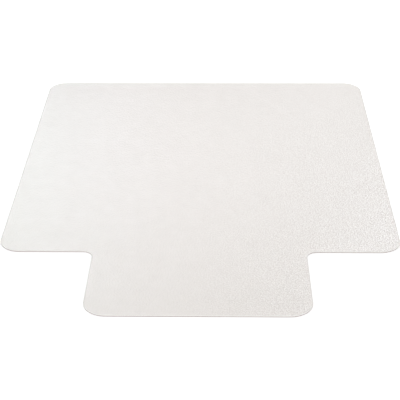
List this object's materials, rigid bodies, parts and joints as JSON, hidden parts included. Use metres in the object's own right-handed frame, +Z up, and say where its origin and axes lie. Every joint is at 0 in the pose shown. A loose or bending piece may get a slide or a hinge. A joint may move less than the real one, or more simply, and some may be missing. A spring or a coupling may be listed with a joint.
{
  "type": "chair mat",
  "caption": "Flat rectangular vinyl chair mat for a hard floor, with rounded corners, a bevelled edge and a straight centred lip that runs under a desk.",
  "frame": {"origin": "centre of the mat's footprint, lip included, on the floor", "axes": "+Z up from the floor; +X across the mat; the lip points along -Y, under the desk, and the chair stands on the +Y side"},
  "size_m": [0.9144, 1.2192, 0.0028],
  "materials": {
    "wear_vinyl": "semi-clear vinyl with a fine random pebble emboss and a satin sheen",
    "core_vinyl": "milky vinyl, seen only at the cut edge, where it looks mauve-grey",
    "backing_vinyl": "soft matt anti-slip film with a fine fabric-like emboss"
  },
  "bodies": {
    "root": {"wear_skin": "wear_vinyl", "core_sheet": "core_vinyl", "grip_backing": "backing_vinyl"}
  },
  "joints": []
}
